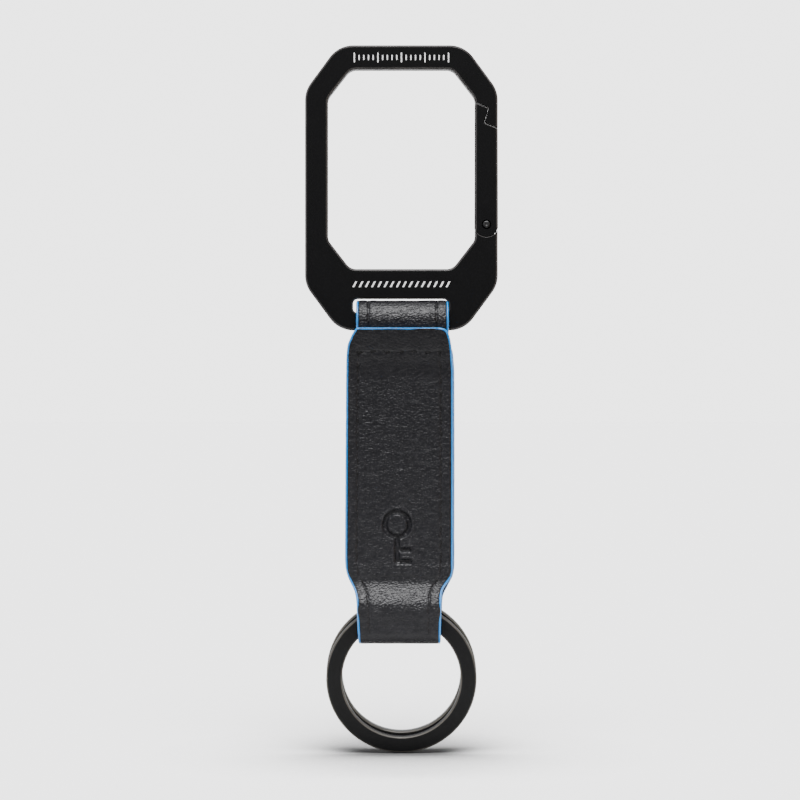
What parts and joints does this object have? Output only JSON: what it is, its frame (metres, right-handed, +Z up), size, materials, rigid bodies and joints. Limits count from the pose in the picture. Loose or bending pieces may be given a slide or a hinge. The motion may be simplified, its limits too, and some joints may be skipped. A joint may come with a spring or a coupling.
{
  "type": "key organiser",
  "caption": "Hanging key organiser: a flat metal hook plate with a sprung gate, a stitched leather strip folded over its lower bar, and a split ring in a loop at the foot.",
  "frame": {"origin": "middle of the underside of the hook plate's top bar, where the organiser hangs, half way through the plate's thickness", "axes": "+Z up the organiser from the split ring to the top bar, -Y out of the front face, +X to the gate's side"},
  "size_m": [0.041, 0.0105, 0.1506],
  "materials": {
    "black_anodised": "black anodised, satin, fine bead-blasted",
    "pin_steel": "blackened, worn grey at the ends",
    "spring_steel": "plain drawn wire and turned steel",
    "grain_leather": "black pebbled grain, satin",
    "lining_leather": "smooth black, matt",
    "fibre_board": "bonded leather fibre board, matt",
    "edge_paint": "sky-blue flexible edge paint, satin",
    "thread": "black bonded polyester thread",
    "black_steel": "black coated spring steel, satin with polished chamfers"
  },
  "bodies": {
    "hook": {"hook_frame": "black_anodised"},
    "gate": {"gate": "black_anodised", "gate_pin": "pin_steel", "gate_spring": "spring_steel"},
    "plunger": {"gate_plunger": "spring_steel"},
    "pouch": {"outer_leather_front": "grain_leather", "outer_leather_back": "grain_leather", "lining_front": "lining_leather", "lining_back": "lining_leather", "stiffener_board": "fibre_board", "edge_paint_front": "edge_paint", "edge_paint_back": "edge_paint", "panel_stitches": "thread", "cross_stitches": "thread", "strap_stitches": "thread"},
    "ring_loop": {"outer_leather_loop": "grain_leather", "lining_loop": "lining_leather", "edge_paint_loop": "edge_paint", "loop_stitches": "thread"},
    "key_ring": {"key_ring": "black_steel"}
  },
  "joints": [
    {"name": "gate_hinge", "type": "hinge", "parent": "hook", "child": "gate", "pos_m": [0.01808, 0, -0.033], "axis": [0, -1, 0], "range_deg": [0, 35], "stiffness_Nm_per_rad": 0.03, "springref_deg": -17.19},
    {"name": "plunger_slide", "type": "slide", "parent": "gate", "child": "plunger", "axis": [0, 0, 1], "range_m": [0, 0.00031], "deforming": ["gate_spring"]},
    {"name": "strap_swing", "type": "hinge", "parent": "hook", "child": "pouch", "pos_m": [0, 0, -0.05365], "axis": [1, 0, 0], "range_deg": [-80, 88]},
    {"name": "neck_flex", "type": "hinge", "parent": "pouch", "child": "ring_loop", "pos_m": [0, -0.001, -0.10835], "axis": [1, 0, 0], "range_deg": [-35, 35], "stiffness_Nm_per_rad": 0.02},
    {"name": "ring_spin", "type": "hinge", "parent": "ring_loop", "child": "key_ring", "pos_m": [0, 0.00032, -0.12943], "axis": [0, -0.9945, -0.1045], "continuous": true}
  ],
  "couplings": [
    {"joint": "plunger_slide", "follows": "gate_hinge", "m_per_rad": 0.0005}
  ]
}
